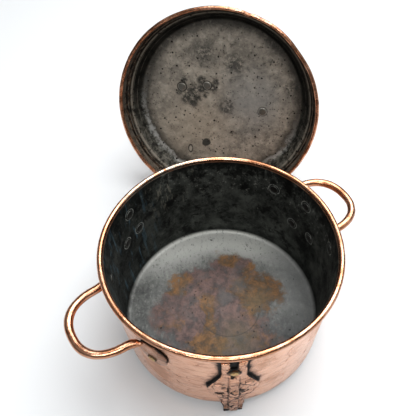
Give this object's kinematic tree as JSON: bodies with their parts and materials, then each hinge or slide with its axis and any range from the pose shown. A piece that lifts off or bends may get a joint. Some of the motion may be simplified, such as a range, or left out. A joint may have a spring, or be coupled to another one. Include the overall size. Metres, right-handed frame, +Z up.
{
  "type": "stew pot",
  "caption": "Deep round copper stew pot with a rolled rim, loop side handles and riveted feet, and a deep domed lid parked on edge beside it.",
  "frame": {"origin": "middle of the pot's flat underside, 10 mm above the ground that the feet stand on", "axes": "+Z up out of the pot's mouth; -Y towards the front foot, +Y towards the parked lid; +X towards the right-hand handle"},
  "size_m": [0.3562, 0.4784, 0.2806],
  "materials": {
    "copper": "hand-hammered copper, worn matt, dark in the corners, grey tin on the inside",
    "rivet_copper": "hammered copper rivet heads, brassy where rubbed",
    "rim_wire": "plain iron wire, hidden in the rolled rims"
  },
  "bodies": {
    "pot": {"foot_front": "copper", "foot_front_rivet_east": "rivet_copper", "foot_front_rivet_top": "rivet_copper", "foot_front_rivet_west": "rivet_copper", "foot_left": "copper", "foot_left_rivet_east": "rivet_copper", "foot_left_rivet_top": "rivet_copper", "foot_left_rivet_west": "rivet_copper", "foot_right": "copper", "foot_right_rivet_east": "rivet_copper", "foot_right_rivet_top": "rivet_copper", "foot_right_rivet_west": "rivet_copper", "handle_left": "copper", "handle_left_rivet_a": "rivet_copper", "handle_left_rivet_b": "rivet_copper", "handle_right": "copper", "handle_right_rivet_a": "rivet_copper", "handle_right_rivet_b": "rivet_copper", "pot_body": "copper", "pot_rim_wire": "rim_wire"},
    "lid": {"lid_handle": "copper", "lid_handle_rivet_a": "rivet_copper", "lid_handle_rivet_b": "rivet_copper", "lid_plug_rivet": "rivet_copper", "lid_rim_wire": "rim_wire", "lid_shell": "copper"}
  },
  "joints": [
    {"name": "lid_swing", "type": "hinge", "parent": "pot", "child": "lid", "pos_m": [0.02141, 0.11959, 0.04802], "axis": [0.9877, -0.0743, 0.1379], "range_deg": [0, 110.77]}
  ]
}
